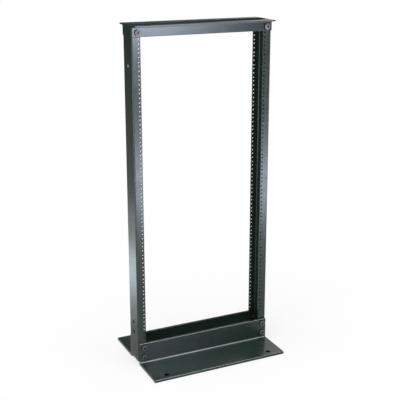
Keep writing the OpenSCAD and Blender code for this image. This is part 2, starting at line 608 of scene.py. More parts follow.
@dataclass
class Post(RackBar):
    """A channel post with its web outward and screw holes down both flanges."""

    side: float
    wall: float = 0.0048
    outer_radius: float = 0.004
    inner_radius: float = 0.0045
    tip_ease: float = 0.0008
    inner_steps: int = 4
    outer_steps: int = 6
    bolt_hole_radius: float = 0.0065

    def holes(self) -> List[Hole]:
        """Lists every hole: screws and bolts through both flanges, joining holes through the web.

        The upper joining hole has no paint in its bore.

        Returns:
            The holes, in the axes of a left post.
        """
        column, screw_radius = self.fixings.screw_column()
        names = ["top_bolt_front_left", "base_bolt_front_left_lower", "base_bolt_front_left_upper"]
        bolts = [self.fixings.bolt_axis(name) for name in names]
        made = []
        for near, far in (("front_out", "front_in"), ("back_out", "back_in")):
            for height in self.fixings.screw_rows():
                made.append(Hole(near, far, -column, height, screw_radius, SCREW_DRILL))
            for x, height in bolts:
                made.append(Hole(near, far, x, height, self.bolt_hole_radius, BOLT_DRILL))
        # The lower web holes' bores carry painted shade; the upper one is bare metal.
        bores = (Zone.HOLLOW, Zone.HOLLOW, Zone.BARE)
        for (height, radius), bore in zip(self.fixings.web_holes(), bores):
            made.append(Hole("web_out", "web_in", 0.0, height, radius, WEB_DRILL, bore))
        return made

    def outline(self, holes: Sequence[Hole]) -> Outline:
        """Draws the channel in plan as a left post, front flange first.

        Args:
            holes: The holes that the flats get breaks for.

        Returns:
            The outline, with eased flange tips.
        """
        low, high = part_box("left_post")
        web, tip, face = low.x, high.x, high.y
        wall, ease, outer, inner = self.wall, self.tip_ease, self.outer_radius, self.inner_radius
        flange, middle = breaks_for(holes, "front_out"), breaks_for(holes, "web_out")
        bend, corner = web + wall + inner, face - wall - inner
        flat_end, steps = tip - ease, self.inner_steps
        return Outline([
            flat_run("front_out", (web + outer, -face), (flat_end, -face), flange),
            *self.tip_runs(tip, -face, -face + wall),
            flat_run("front_in", (flat_end, -face + wall), (bend, -face + wall), flange),
            arc_run((bend, -corner), inner, 270, 180, steps),
            flat_run("web_in", (web + wall, -corner), (web + wall, corner), middle),
            arc_run((bend, corner), inner, 180, 90, steps),
            flat_run("back_in", (bend, face - wall), (flat_end, face - wall), flange),
            *self.tip_runs(tip, face - wall, face),
            flat_run("back_out", (flat_end, face), (web + outer, face), flange),
            arc_run((web + outer, face - outer), outer, 90, 180, self.outer_steps),
            flat_run("web_out", (web, face - outer), (web, -face + outer), middle),
            arc_run((web + outer, -face + outer), outer, 180, 270, self.outer_steps),
        ])

    def tip_runs(self, tip: float, low: float, high: float) -> List[Run]:
        """Draws the end of a flange: a quarter round, a flat and a quarter round.

        Args:
            tip: Where the flange ends.
            low: Its front face.
            high: Its back face.

        Returns:
            The three runs.
        """
        ease = self.tip_ease
        return [
            arc_run((tip - ease, low + ease), ease, -90, 0),
            flat_run("", (tip, low + ease), (tip, high - ease)),
            arc_run((tip - ease, high - ease), ease, 0, 90),
        ]

    def lay(self) -> Tuple[float, float, Matrix]:
        """Stands the post up, its own X turned round on the right.

        Returns:
            Its foot, its head and its axes.
        """
        low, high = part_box(self.node)
        axes = axes_of((-self.side, 0, 0), (0, 1, 0), (0, 0, 1), (0, 0, 0))
        return low.z, high.z, axes


@dataclass
class AngleBar(RackBar):
    """An angle with its heel against the posts: an upright leg with bolt holes, and a flat leg."""

    end: End
    thick: float = 0.0048
    fillet: float = 0.0045
    toe: float = 0.002
    ease: float = 0.0007
    fillet_steps: int = 7
    toe_steps: int = 5
    bolt_hole_radius: float = 0.0065
    heel_up: bool = True
    bolt_nodes: Tuple[str, ...] = ("top_bolt_front_left", "top_bolt_front_right")

    def sizes(self) -> Tuple[float, float, float]:
        """Gives the reach of the flat leg, the height of the upright leg and half the length."""
        low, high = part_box(self.node)
        return high.y - low.y, high.z - low.z, (high.x - low.x) / 2

    def heel(self) -> Tuple[float, float]:
        """Finds the heel line.

        Returns:
            Its Y and its Z.
        """
        low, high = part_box(self.node)
        face = high.y if self.end is End.FRONT else low.y
        return face, high.z if self.heel_up else low.z

    def holes(self) -> List[Hole]:
        """Lists the bolt holes through the upright leg.

        Returns:
            The holes, measured from the heel.
        """
        heel_z = self.heel()[1]
        axes = [self.fixings.bolt_axis(node) for node in self.bolt_nodes]
        return [
            Hole("leg_out", "leg_in", abs(z - heel_z), x, self.bolt_hole_radius, BOLT_DRILL)
            for x, z in axes
        ]

    def outline(self, holes: Sequence[Hole]) -> Outline:
        """Draws the section: heel at zero, flat leg on the first axis, upright leg on the second.

        Args:
            holes: The holes that the flats get breaks for.

        Returns:
            The outline, with rounded toes and a fillet in the hollow.
        """
        reach, height, _ = self.sizes()
        thick, fillet, toe, ease = self.thick, self.fillet, self.toe, self.ease
        leg, floor = breaks_for(holes, "leg_out"), breaks_for(holes, "flat_out")
        hollow = thick + fillet
        return Outline([
            flat_run("flat_in", (ease, 0), (reach - ease, 0), floor),
            arc_run((reach - ease, ease), ease, -90, 0),
            flat_run("", (reach, ease), (reach, thick - toe)),
            arc_run((reach - toe, thick - toe), toe, 0, 90, self.toe_steps),
            flat_run("flat_out", (reach - toe, thick), (hollow, thick), floor),
            arc_run((hollow, hollow), fillet, 270, 180, self.fillet_steps),
            flat_run("leg_out", (thick, hollow), (thick, height - toe), leg),
            arc_run((thick - toe, height - toe), toe, 0, 90, self.toe_steps),
            flat_run("", (thick - toe, height), (ease, height)),
            arc_run((ease, height - ease), ease, 90, 180),
            flat_run("leg_in", (0, height - ease), (0, ease), leg),
            arc_run((ease, ease), ease, 180, 270),
        ])

    def lay(self) -> Tuple[float, float, Matrix]:
        """Lays the angle along X with its heel on the posts.

        Returns:
            Its two ends and its axes.
        """
        half = self.sizes()[2]
        face, heel_z = self.heel()
        up = -1 if self.heel_up else 1
        axes = axes_of((0, self.end.value, 0), (0, 0, up), (1, 0, 0), (0, face, heel_z))
        return -half, half, axes


@dataclass
class BaseAngle(AngleBar):
    """A base angle: thicker and wider, standing on its flat leg, with floor anchor holes."""

    thick: float = 0.0095
    fillet: float = 0.007
    toe: float = 0.003
    heel_up: bool = False
    bolt_nodes: Tuple[str, ...] = (
        "base_bolt_front_left_lower", "base_bolt_front_left_upper",
        "base_bolt_front_right_lower", "base_bolt_front_right_upper",
    )

    def holes(self) -> List[Hole]:
        """Lists the bolt holes and the two floor anchor holes.

        Returns:
            The holes, measured from the heel.
        """
        out, deep, radius = self.fixings.floor_holes()
        across = deep - abs(self.heel()[0])
        return super().holes() + [
            Hole("flat_out", "flat_in", across, side * out, radius, FLOOR_DRILL) for side in (-1, 1)
        ]


# ---------------------------------------------------------------- fasteners


def hexagon(angle: Array, corner: float) -> Array:
    """Gives the distance from the middle of a hexagon to its edge.

    It is flat / cos(a), where flat is corner * cos 30 and a is the bearing from the nearest flat.

    Args:
        angle: Bearings, in radians, with a corner at zero.
        corner: Distance from the middle to a corner.

    Returns:
        The distance at each bearing.
    """
    sixth = math.pi / 3
    return corner * math.cos(sixth / 2) / np.cos(np.mod(angle, sixth) - sixth / 2)


@dataclass
class Lathe:
    """Gathers the rings of a turned piece, each with the zone of the band that follows it."""

    facets: int = 48
    radii: List[Array] = field(default_factory=list)
    heights: List[Array] = field(default_factory=list)
    marks: List[int] = field(default_factory=list)

    def bearings(self) -> Array:
        """Gives the bearing of every facet, in radians."""
        return np.linspace(0, 2 * math.pi, self.facets, endpoint=False)

    def ring(self, radius: Level, height: Level, zone: Zone = Zone.PLAIN) -> None:
        """Adds a ring.

        Args:
            radius: Distance from the middle line, the same all round or one for each bearing.
            height: Height along the middle line, given in the same way.
            zone: What the band after this ring is.
        """
        self.radii.append(np.broadcast_to(radius, self.facets))
        self.heights.append(np.broadcast_to(height, self.facets))
        self.marks.append(zone.mark)

    def skin(self, axis: Vector, seat: Vector, closed: bool) -> Skin:
        """Stands the rings up: point(i, a) = seat + h(i, a) * axis + r(i, a) * spoke(a).

        Args:
            axis: Direction of the heights, along Y one way or the other.
            seat: Where the heights start.
            closed: True joins the last ring to the first, and False caps both.

        Returns:
            The skin, with its outward side away from the axis as the heights rise.
        """
        angle, across = self.bearings(), Vector((1, 0, 0))
        spoke = np.outer(np.cos(angle), across) + np.outer(np.sin(angle), axis.cross(across))
        heights, radii = np.array(self.heights)[..., None], np.array(self.radii)[..., None]
        points = np.array(seat) + heights * np.array(axis) + radii * spoke
        index = np.arange(len(points) * self.facets).reshape(-1, self.facets)
        above = np.roll(index, -1, axis=0) if closed else index[1:]
        below = index[:len(above)]
        quads = np.stack([below, np.roll(below, -1, 1), np.roll(above, -1, 1), above], 2)
        caps = [] if closed else [index[0, ::-1], index[-1]]
        marks = np.repeat(self.marks[:len(above)], self.facets)
        return Skin(points.reshape(-1, 3), quads.reshape(-1, 4), caps, marks)


@dataclass
class ButtonBolt:
    """A round head bolt with a hexagon socket and a cut thread."""

    node: str
    head_height: float = 0.0066
    edge_height: float = 0.0058
    edge_ease: float = 0.0004
    shoulder: float = 0.0010
    shoulder_rings: int = 5
    shaded_deg: float = 60.0
    dome_rings: int = 12
    dome_first: float = 0.06
    shank_radius: float = 0.006
    neck_flare: float = 0.0003
    thread_pitch: float = 0.00175
    thread_depth: float = 0.00095
    thread_length: float = 0.0145
    rings_per_pitch: int = 7
    point: float = 0.0012
    socket_corner: float = 0.0046
    socket_depth: float = 0.0036
    socket_lip: float = 0.0004
    drill_point: float = 0.0006
    drill_share: float = 0.35

    def cut_thread(self, lathe: Lathe, end: float) -> None:
        """Cuts the thread, which fades out where the plain shank begins.

        r(h, a) = shank - depth * v, where v = |2 * frac(h / pitch - a / turn) - 1|.

        Args:
            lathe: What gathers the rings.
            end: Height of the shank's end, below the seat.
        """
        rows = int(self.thread_length / self.thread_pitch * self.rings_per_pitch)
        top = end + self.thread_length
        height = np.linspace(end + self.point * 0.5, top, rows)
        turn = np.linspace(0, 1, lathe.facets, endpoint=False)
        wave = np.abs(2 * np.mod(height[:, None] / self.thread_pitch - turn[None], 1.0) - 1)
        fade = np.clip((top - height) / self.thread_pitch, 0, 1)[:, None]
        radii = self.shank_radius - self.thread_depth * wave * fade
        for radius, level in zip(radii, height):
            # The thread is darkened with painted shade, standing in for the shade in its grooves.
            lathe.ring(radius, level, Zone.HOLLOW if level < height[-1] else Zone.PLAIN)

    def dome(self, radius: Array, head_radius: float) -> Array:
        """Gives the height of the head's face: a low cap through its edge and its full height.

        With s for the rise of the cap, the ball's radius is (head^2 + s^2) / (2 s), and the height
        is edge + sqrt(ball^2 - r^2) - (ball - s).

        Args:
            radius: Distances from the bolt's middle line.
            head_radius: Radius of the cap.

        Returns:
            The height above the seat at each distance.
        """
        rise = self.head_height - self.edge_height
        ball = (head_radius ** 2 + rise ** 2) / (2 * rise)
        return self.edge_height + np.sqrt(ball ** 2 - radius ** 2) - (ball - rise)

    def turn_head(self, lathe: Lathe, head_radius: float) -> None:
        """Turns the head: its straight side, round shoulder, low cap and socket, with painted shade on
        the side, on the shoulder below shaded_deg and in the socket.

        Args:
            lathe: What gathers the rings.
            head_radius: Radius of the head.
        """
        lathe.ring(head_radius - self.edge_ease, 0.0)
        # Painted shade on the straight side and the lower shoulder darkens the head's shaded flank.
        lathe.ring(head_radius, self.edge_ease, Zone.HOLLOW)
        for turn in np.linspace(0, math.pi / 2, self.shoulder_rings):
            lathe.ring(
                head_radius - self.shoulder * (1 - math.cos(turn)),
                self.edge_height - self.shoulder * (1 - math.sin(turn)),
                Zone.HOLLOW if turn < math.radians(self.shaded_deg) else Zone.PLAIN,
            )
        cap = head_radius - self.shoulder
        socket = hexagon(lathe.bearings(), self.socket_corner)
        for share in np.linspace(self.dome_first, 1, self.dome_rings):
            radius = (1 - share) * cap + share * (socket + self.socket_lip)
            lathe.ring(radius, self.dome(radius, cap), Zone.PLAIN if share < 1 else Zone.HOLLOW)
        top = float(self.dome(np.array([self.socket_corner]), cap)[0])
        lathe.ring(socket, top - self.socket_lip, Zone.HOLLOW)
        lathe.ring(socket, top - self.socket_depth, Zone.HOLLOW)
        drilled = top - self.socket_depth - self.drill_point
        lathe.ring(socket * self.drill_share, drilled, Zone.HOLLOW)

    def build(self, material: Material) -> Piece:
        """Turns the bolt from its threaded end to the floor of its socket.

        Args:
            material: Its finish.

        Returns:
            The new piece.
        """
        low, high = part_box(self.node)
        front = abs(low.y) > abs(high.y)
        axis = Vector((0, -1 if front else 1, 0))
        face = -low.y if front else high.y
        length = (high.y - low.y) - self.head_height
        x, z = (low.x + high.x) / 2, (low.z + high.z) / 2
        seat = Vector((x, axis.y * (face - self.head_height), z))
        lathe = Lathe()
        end_radius = self.shank_radius - self.thread_depth - self.point * 0.5
        for share, zone in ((0.2, Zone.BARE), (0.6, Zone.PLAIN), (1.0, Zone.PLAIN)):
            lathe.ring(share * end_radius, -length, zone)
        self.cut_thread(lathe, -length)
        lathe.ring(self.shank_radius, -self.neck_flare)
        lathe.ring(self.shank_radius + self.neck_flare, 0.0)
        self.turn_head(lathe, (high.x - low.x) / 2)
        mesh = lathe.skin(axis, seat, closed=False).to_mesh("plated_" + self.node)
        return place(mesh, material, self.node)


@dataclass
class HexNut:
    """A hexagon nut, chamfered at both faces, its bore opened a little at each end."""

    node: str
    shank_radius: float = 0.006
    play: float = 0.0001
    mouth: float = 0.0007
    chamfer_slope: float = 0.577
    chamfer_least: float = 0.0002
    face_inset: float = 0.0003

    def build(self, material: Material) -> Piece:
        """Turns the nut once round its wall, from one mouth of the bore back to it.

        Args:
            material: Its finish.

        Returns:
            The new piece.
        """
        low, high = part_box(self.node)
        height, corner = high.y - low.y, (high.z - low.z) / 2
        lathe = Lathe()
        wall = hexagon(lathe.bearings() + math.pi / 6, corner)
        inscribed = corner * math.cos(math.pi / 6)
        below = [
            (self.shank_radius - self.play, self.mouth),
            (self.shank_radius + self.mouth, 0.0),
            (inscribed - self.face_inset, 0.0),
            (wall, (wall - inscribed) * self.chamfer_slope + self.chamfer_least),
        ]
        above = [(radius, height - level) for radius, level in reversed(below)]
        for row, (radius, level) in enumerate(below + above):
            lathe.ring(radius, level, Zone.PLAIN if row % 2 else Zone.WORN_EDGE)
        seat = Vector(((low.x + high.x) / 2, low.y, (low.z + high.z) / 2))
        mesh = lathe.skin(Vector((0, 1, 0)), seat, closed=True).to_mesh("plated_" + self.node)
        return place(mesh, material, self.node)


# ---------------------------------------------------------------- shader groups


def add_node(
    tree: Tree, kind: str, values: Dict[object, object] | None = None, **settings: object,
) -> bpy.types.Node:
    """Adds a node, sets its properties and fills its sockets.

    Args:
        tree: Where the node goes.
        kind: Type of the node, without its usual first word.
        values: Value, or output socket to be linked, for each input by name or by number.
        **settings: Properties of the node.

    Returns:
        The node.
    """
    node = tree.nodes.new("ShaderNode" + kind)
    for key, value in settings.items():
        setattr(node, key, value)
    for key, value in (values or {}).items():
        if isinstance(value, Socket):
            tree.links.new(value, node.inputs[key])
        else:
            node.inputs[key].default_value = value
    return node


def work_out(tree: Tree, operation: str, *terms: object) -> Socket:
    """Adds a Math node and gives its result."""
    return add_node(tree, "Math", dict(enumerate(terms)), operation=operation).outputs[0]


def noise(tree: Tree, place_at: Socket, scale: Socket, detail: float) -> Socket:
    """Adds a noise and gives its value."""
    values = {"Vector": place_at, "Scale": scale, "Detail": detail}
    return add_node(tree, "TexNoise", values).outputs["Fac"]


def blend(tree: Tree, share: Socket, first: object, second: object) -> Socket:
    """Blends from one colour to another and gives the result."""
    values = {"Factor": share, 6: first, 7: second}
    return add_node(tree, "Mix", values, data_type="RGBA").outputs[2]


def mask_of(tree: Tree, zone: Zone) -> Socket:
    """Reads the mask of a zone."""
    return add_node(tree, "Attribute", attribute_name=zone.value).outputs["Fac"]


class Kind(Enum):
    """What a socket of a shader group carries."""

    NUMBER = "NodeSocketFloat"
    COLOUR = "NodeSocketColor"
    VECTOR = "NodeSocketVector"


@dataclass
class Group:
    """A shader node group in the making."""

    name: str
    inputs: Dict[str, Kind]
    tree: Tree = field(init=False)
    given: Dict[str, Socket] = field(init=False)

    def __post_init__(self) -> None:
        """Starts the group with its inputs."""
        self.tree = bpy.data.node_groups.new(self.name, "ShaderNodeTree")
        for label, kind in self.inputs.items():
            self.tree.interface.new_socket(label, in_out="INPUT", socket_type=kind.value)
        start = self.tree.nodes.new("NodeGroupInput")
        self.given = {label: start.outputs[label] for label in self.inputs}

    def finish(self, outputs: Dict[str, Tuple[Kind, Socket]]) -> Tree:
        """Adds the outputs and links them.

        Args:
            outputs: Kind of each output and the socket that feeds it, by name.

        Returns:
            The group.
        """
        for label, (kind, _) in outputs.items():
            self.tree.interface.new_socket(label, in_out="OUTPUT", socket_type=kind.value)
        end = self.tree.nodes.new("NodeGroupOutput")
        for label, (_, source) in outputs.items():
            self.tree.links.new(source, end.inputs[label])
        return self.tree


def mottle_group() -> Tree:
    """Makes the soft mottle that paint and plating share.

    Two layers of noise, one about four times finer, are added and stretched from Low to High.

    Returns:
        The group, with the output Value.
    """
    finer, darkest, lightest = 4.3, 0.75, 1.25
    number = Kind.NUMBER
    group = Group("mottle", {"Place": Kind.VECTOR, "Scale": number, "Low": number, "High": number})
    tree, given = group.tree, group.given
    broad = noise(tree, given["Place"], given["Scale"], 3.0)
    small = noise(tree, given["Place"], work_out(tree, "MULTIPLY", given["Scale"], finer), 2.0)
    span = add_node(tree, "MapRange", {
        "Value": work_out(tree, "ADD", broad, small), "From Min": darkest, "From Max": lightest,
        "To Min": given["Low"], "To Max": given["High"],
    })
    return group.finish({"Value": (number, span.outputs["Result"])})


def rubbed_edge_group() -> Tree:
    """Makes the wear along eased edges.

    The mask is the piece's worn_edge attribute times a broken noise, and it blends the finish into
    the colour that shows where the edge is rubbed.

    Returns:
        The group, with the output Colour.
    """
    patches, whole, gone = 60.0, 0.38, 0.62
    colour = Kind.COLOUR
    group = Group("rubbed_edge", {
        "Place": Kind.VECTOR, "Finish": colour, "Rubbed": colour, "Amount": Kind.NUMBER,
    })
    tree, given = group.tree, group.given
    broken = add_node(tree, "MapRange", {
        "Value": noise(tree, given["Place"], patches, 4.0), "From Min": whole, "From Max": gone,
    }).outputs["Result"]
    held = work_out(tree, "MULTIPLY", mask_of(tree, Zone.WORN_EDGE), broken)
    mask = work_out(tree, "MULTIPLY", held, given["Amount"])
    return group.finish({"Colour": (colour, blend(tree, mask, given["Finish"], given["Rubbed"]))})


def skin_texture_group() -> Tree:
    """Makes the fine relief of a sprayed or plated skin.

    A cell pattern and a noise of half its size add up to a height, and a bump makes it a normal.

    Returns:
        The group, with the output Normal.
    """
    finer, number = 2.1, Kind.NUMBER
    group = Group("skin_texture", {"Place": Kind.VECTOR, "Scale": number, "Depth": number})
    tree, given = group.tree, group.given
    cells = add_node(tree, "TexVoronoi", {
        "Vector": given["Place"], "Scale": given["Scale"],
    }, feature="SMOOTH_F1").outputs["Distance"]
    grain = noise(tree, given["Place"], work_out(tree, "MULTIPLY", given["Scale"], finer), 2.0)
    bump = add_node(tree, "Bump", {
        "Strength": 1.0, "Distance": given["Depth"], "Height": work_out(tree, "ADD", cells, grain),
    })
    return group.finish({"Normal": (Kind.VECTOR, bump.outputs["Normal"])})


def zone_tint_group() -> Tree:
    """Makes the painted shade in bores, sockets and threads, and the colour of bare metal.

    The finish is blended into the painted shade's dark colour by the painted shade mask, then into
    the bare metal's colour by the bare mask. The sum of the masks tells where the paint's sheen is
    missing, which darkens the painted shade further and makes the bare faces metal.

    Returns:
        The group, with the outputs Colour and Sheenless.
    """
    group = Group("zone_tint", dict.fromkeys(("Finish", "Hollow", "Metal"), Kind.COLOUR))
    tree, given = group.tree, group.given
    # hollow is the painted shade mask: it darkens bores, sockets and threads to stand in for shade.
    hollow, bare = mask_of(tree, Zone.HOLLOW), mask_of(tree, Zone.BARE)
    tinted = blend(tree, hollow, given["Finish"], given["Hollow"])
    return group.finish({
        "Colour": (Kind.COLOUR, blend(tree, bare, tinted, given["Metal"])),
        "Sheenless": (Kind.NUMBER, work_out(tree, "ADD", hollow, bare)),
    })


@dataclass
class Groups:
    """The shader groups that the finishes share."""

    mottle: Tree
    rubbed_edge: Tree
    skin_texture: Tree
    zone_tint: Tree

    @classmethod
    def make(cls) -> "Groups":
        """Builds each group once."""
        return cls(mottle_group(), rubbed_edge_group(), skin_texture_group(), zone_tint_group())


# ---------------------------------------------------------------- finishes


def rgba(colour: Triple) -> Tuple[float, float, float, float]:
    """Adds full opacity to a colour."""
    return (*colour, 1.0)


def emptied(owner: Union[Material, bpy.types.World]) -> Tree:
    """Turns on the nodes of a material or world and empties them.

    Args:
        owner: The material or world.

    Returns:
        Its node tree.
    """
    owner.use_nodes = True
    owner.node_tree.nodes.clear()
    return owner.node_tree


@dataclass(frozen=True)
class MetalSkin:
    """A finish on metal: two tones that mottle into each other, rubbed edges, a painted shade for
    bores, sockets and threads, and a fine relief.
    """

    name: str
    deep: Triple
    light: Triple
    rubbed: Triple
    # Colour of the painted shade in bores, sockets and threads, standing in for the shade there.
    hollow: Triple
    metallic: float
    roughness: Tuple[float, float]
    edge_amount: float
    mottle_scale: float
    specular: float = 0.5
    relief_scale: float = 1500.0
    relief_depth: float = 0.000008
    bare: Triple = (0.27, 0.275, 0.275)
    gloss_finer: float = 2.3
    bare_or_shade_rougher: float = 0.3

    def material(self, groups: Groups) -> Material:
        """Builds the material.

        Args:
            groups: The shared shader groups.

        Returns:
            The material, all of it read from Object coordinates.
        """
        made = bpy.data.materials.new(self.name)
        tree = emptied(made)
        place_at = {"Place": add_node(tree, "TexCoord").outputs["Object"]}
        mottle = {**place_at, "Scale": self.mottle_scale, "Low": 0.0, "High": 1.0}
        shade = add_node(tree, "Group", mottle, node_tree=groups.mottle).outputs["Value"]
        edge = add_node(tree, "Group", {
            **place_at, "Finish": blend(tree, shade, rgba(self.deep), rgba(self.light)),
            "Rubbed": rgba(self.rubbed), "Amount": self.edge_amount,
        }, node_tree=groups.rubbed_edge)
        tint = add_node(tree, "Group", {
            "Finish": edge.outputs["Colour"], "Hollow": rgba(self.hollow), "Metal": rgba(self.bare),
        }, node_tree=groups.zone_tint).outputs
        low, high = self.roughness
        gloss = add_node(tree, "Group", {
            **place_at, "Scale": self.mottle_scale * self.gloss_finer, "Low": low, "High": high,
        }, node_tree=groups.mottle).outputs["Value"]
        relief = add_node(tree, "Group", {
            **place_at, "Scale": self.relief_scale, "Depth": self.relief_depth,
        }, node_tree=groups.skin_texture)
        # Painted shade faces and bare faces both turn metallic and rougher; on painted shade faces the
        # near-black colour then removes the sheen.
        rough = work_out(tree, "MULTIPLY_ADD", tint["Sheenless"], self.bare_or_shade_rougher, gloss)
        shader = add_node(tree, "BsdfPrincipled", {
            "Base Color": tint["Colour"],
            "Metallic": self.metallic if self.metallic > 0 else tint["Sheenless"],
            "Roughness": rough,
            "Specular IOR Level": self.specular,
            "Normal": relief.outputs["Normal"],
        })
        add_node(tree, "OutputMaterial", {"Surface": shader.outputs["BSDF"]})
        return made


SATIN_BLACK = MetalSkin(
    name="satin_black_paint",
    deep=(0.0105, 0.023, 0.0155),
    light=(0.0135, 0.028, 0.0195),
    rubbed=(0.055, 0.060, 0.062),
    # painted shade in bores, hole rims and the lower web holes
    hollow=(0.004, 0.007, 0.005),
    metallic=0.0,
    roughness=(0.22, 0.27),
    edge_amount=0.35,
    mottle_scale=9.0,
    specular=0.45,
    relief_scale=900.0,
    relief_depth=0.000003,
)

DULL_STEEL = MetalSkin(
    name="dull_plated_steel",
    deep=(0.094, 0.090, 0.085),
    light=(0.142, 0.137, 0.130),
    rubbed=(0.13, 0.125, 0.12),
    # painted shade on threads, in the socket and on the shaded flank of the head
    hollow=(0.022, 0.020, 0.018),
    metallic=0.6,
    roughness=(0.42, 0.54),
    edge_amount=0.7,
    mottle_scale=120.0,
)

BLACK_OXIDE = MetalSkin(
    name="black_oxide_steel",
    deep=(0.016, 0.018, 0.018),
    # painted shade colour, though no nut face is marked for it
    light=(0.026, 0.028, 0.028),
    rubbed=(0.06, 0.06, 0.058),
    hollow=(0.008, 0.008, 0.008),
    metallic=1.0,
    roughness=(0.38, 0.5),
    edge_amount=0.5,
    mottle_scale=140.0,
)


# ---------------------------------------------------------------- studio


@dataclass(frozen=True)
class Viewpoint:
    """Where the camera stands and how it looks."""

    position: Triple = (-1.2646, -2.6812, 1.479)
    yaw_deg: float = 25.882
    pitch_deg: float = 15.988
    roll_deg: float = 0.104
    lens_mm: float = 78.42
    sensor_mm: float = 36.0
    shift: Tuple[float, float] = (-0.0208, -0.0385)
    clip: Tuple[float, float] = (0.05, 100.0)

    def build(self) -> None:
        """Makes the camera: yaw turns it toward +X, pitch down, roll about its line of sight."""
        yaw, pitch, roll = map(math.radians, (self.yaw_deg, self.pitch_deg, self.roll_deg))
        level = Vector((math.cos(yaw), -math.sin(yaw), 0.0))
        out = math.cos(pitch)
        ahead = Vector((math.sin(yaw) * out, math.cos(yaw) * out, -math.sin(pitch)))
        above = level.cross(ahead)
        right = math.cos(roll) * level + math.sin(roll) * above
        up = math.cos(roll) * above - math.sin(roll) * level
        data = bpy.data.cameras.new("camera")
        data.sensor_width, data.lens = self.sensor_mm, self.lens_mm
        data.shift_x, data.shift_y = self.shift
        data.clip_start, data.clip_end = self.clip
        camera = bpy.data.objects.new("camera", data)
        turn = Matrix((right, up, -ahead)).transposed().to_4x4()
        camera.matrix_world = Matrix.Translation(self.position) @ turn
        bpy.context.scene.collection.objects.link(camera)
        bpy.context.scene.camera = camera


def stage_card(name: str, centre: Triple, across: Triple, up: Triple, material: Material) -> Piece:
    """Makes a flat rectangle that belongs to the studio.

    Args:
        name: Name of the card.
        centre: Its middle.
        across: From its middle to its right edge.
        up: From its middle to its top edge.
        material: What covers it.

    Returns:
        The card, with its own map from 0 to 1 each way.
    """
    ways = ((-1, -1), (1, -1), (1, 1), (-1, 1))
    corners = [Vector(centre) + right * Vector(across) + top * Vector(up) for right, top in ways]
    mesh = bpy.data.meshes.new(name)
    mesh.from_pydata([tuple(corner) for corner in corners], [], [(0, 1, 2, 3)])
    layer = mesh.uv_layers.new(name="card")
    layer.data.foreach_set("uv", [0, 0, 1, 0, 1, 1, 0, 1])
    mesh.materials.append(material)
    card = bpy.data.objects.new(name, mesh)
    bpy.context.scene.collection.objects.link(card)
    return card


@dataclass(frozen=True)
class StudioCard:
    """A studio card that only reflections see."""

    name: str
    centre: Triple
    across: Triple
    up: Triple

    def surface(self, tree: Tree, spot: Socket) -> Socket:
        """Makes what the card gives off, from the place on its own map: each kind has its own."""
        raise NotImplementedError

    def build(self) -> None:
        """Makes the card, hidden from the camera."""
        made = bpy.data.materials.new(self.name)
        tree = emptied(made)
        surface = self.surface(tree, add_node(tree, "TexCoord").outputs["UV"])
        add_node(tree, "OutputMaterial", {"Surface": surface})
        card = stage_card(self.name, self.centre, self.across, self.up, made)
        card.visible_camera = card.visible_diffuse = card.visible_shadow = False


class Tint(Enum):
    """The colours of the glows."""

    CYAN = (0.76, 0.88, 1.0)
    BLUE = (0.75, 0.81, 1.0)
    LILAC = (0.90, 0.87, 1.0)
    PEARL = (0.98, 0.93, 1.0)


@dataclass(frozen=True)
class GlowCard(StudioCard):
    """A card with a soft glow in its middle."""

    strength: float
    tint: Tint

    def surface(self, tree: Tree, spot: Socket) -> Socket:
        """Makes a glow of (1 - d)^2 * (1 + 2 d), with d the distance from the card's middle.

        Args:
            tree: Where the nodes go.
            spot: Place on the card's own map.

        Returns:
            The glow, clear where it ends.
        """
        centred = add_node(tree, "Mapping", {
            "Vector": spot, "Location": (-1.0, -1.0, 0.0), "Scale": (2.0, 2.0, 1.0),
        })
        away = add_node(tree, "VectorMath", {0: centred.outputs[0]}, operation="LENGTH")
        fall = add_node(tree, "MapRange", {
            "Value": away.outputs["Value"], "To Min": 1.0, "To Max": 0.0,
        }, interpolation_type="SMOOTHSTEP")
        light = {"Color": rgba(self.tint.value), "Strength": self.strength}
        glow = add_node(tree, "Emission", light)
        clear = add_node(tree, "BsdfTransparent")
        ends = {0: fall.outputs["Result"], 1: clear.outputs[0], 2: glow.outputs[0]}
        return add_node(tree, "MixShader", ends).outputs[0]


@dataclass(frozen=True)
class ShadeCard(StudioCard):
    """A dark card, its brightness different at its foot."""

    foot: float
    head: float
    fall: float = 3.0

    def surface(self, tree: Tree, spot: Socket) -> Socket:
        """Makes a brightness that goes from foot to head as (1 - share)^fall.

        Args:
            tree: Where the nodes go.
            spot: Place on the card's own map.

        Returns:
            The glow.
        """
        share = add_node(tree, "SeparateXYZ", {0: spot}).outputs["Y"]
        left = work_out(tree, "POWER", work_out(tree, "SUBTRACT", 1.0, share), self.fall)
        ends = {"Value": left, "To Min": self.head, "To Max": self.foot}
        level = add_node(tree, "MapRange", ends)
        return add_node(tree, "Emission", {"Strength": level.outputs["Result"]}).outputs[0]


@dataclass(frozen=True)
class Ceiling:
    """A wide soft light from above, the same all over the floor."""

    name: str
    toward: Triple
    spread_deg: float
    strength: float

    def build(self) -> None:
        """Makes the light, shining along its direction."""
        data = bpy.data.lights.new(self.name, "SUN")
        data.angle, data.energy = math.radians(self.spread_deg), self.strength
        lamp = bpy.data.objects.new(self.name, data)
        lamp.rotation_euler = Vector(self.toward).to_track_quat("-Z", "Y").to_euler()
        lamp.visible_glossy = False
        bpy.context.scene.collection.objects.link(lamp)


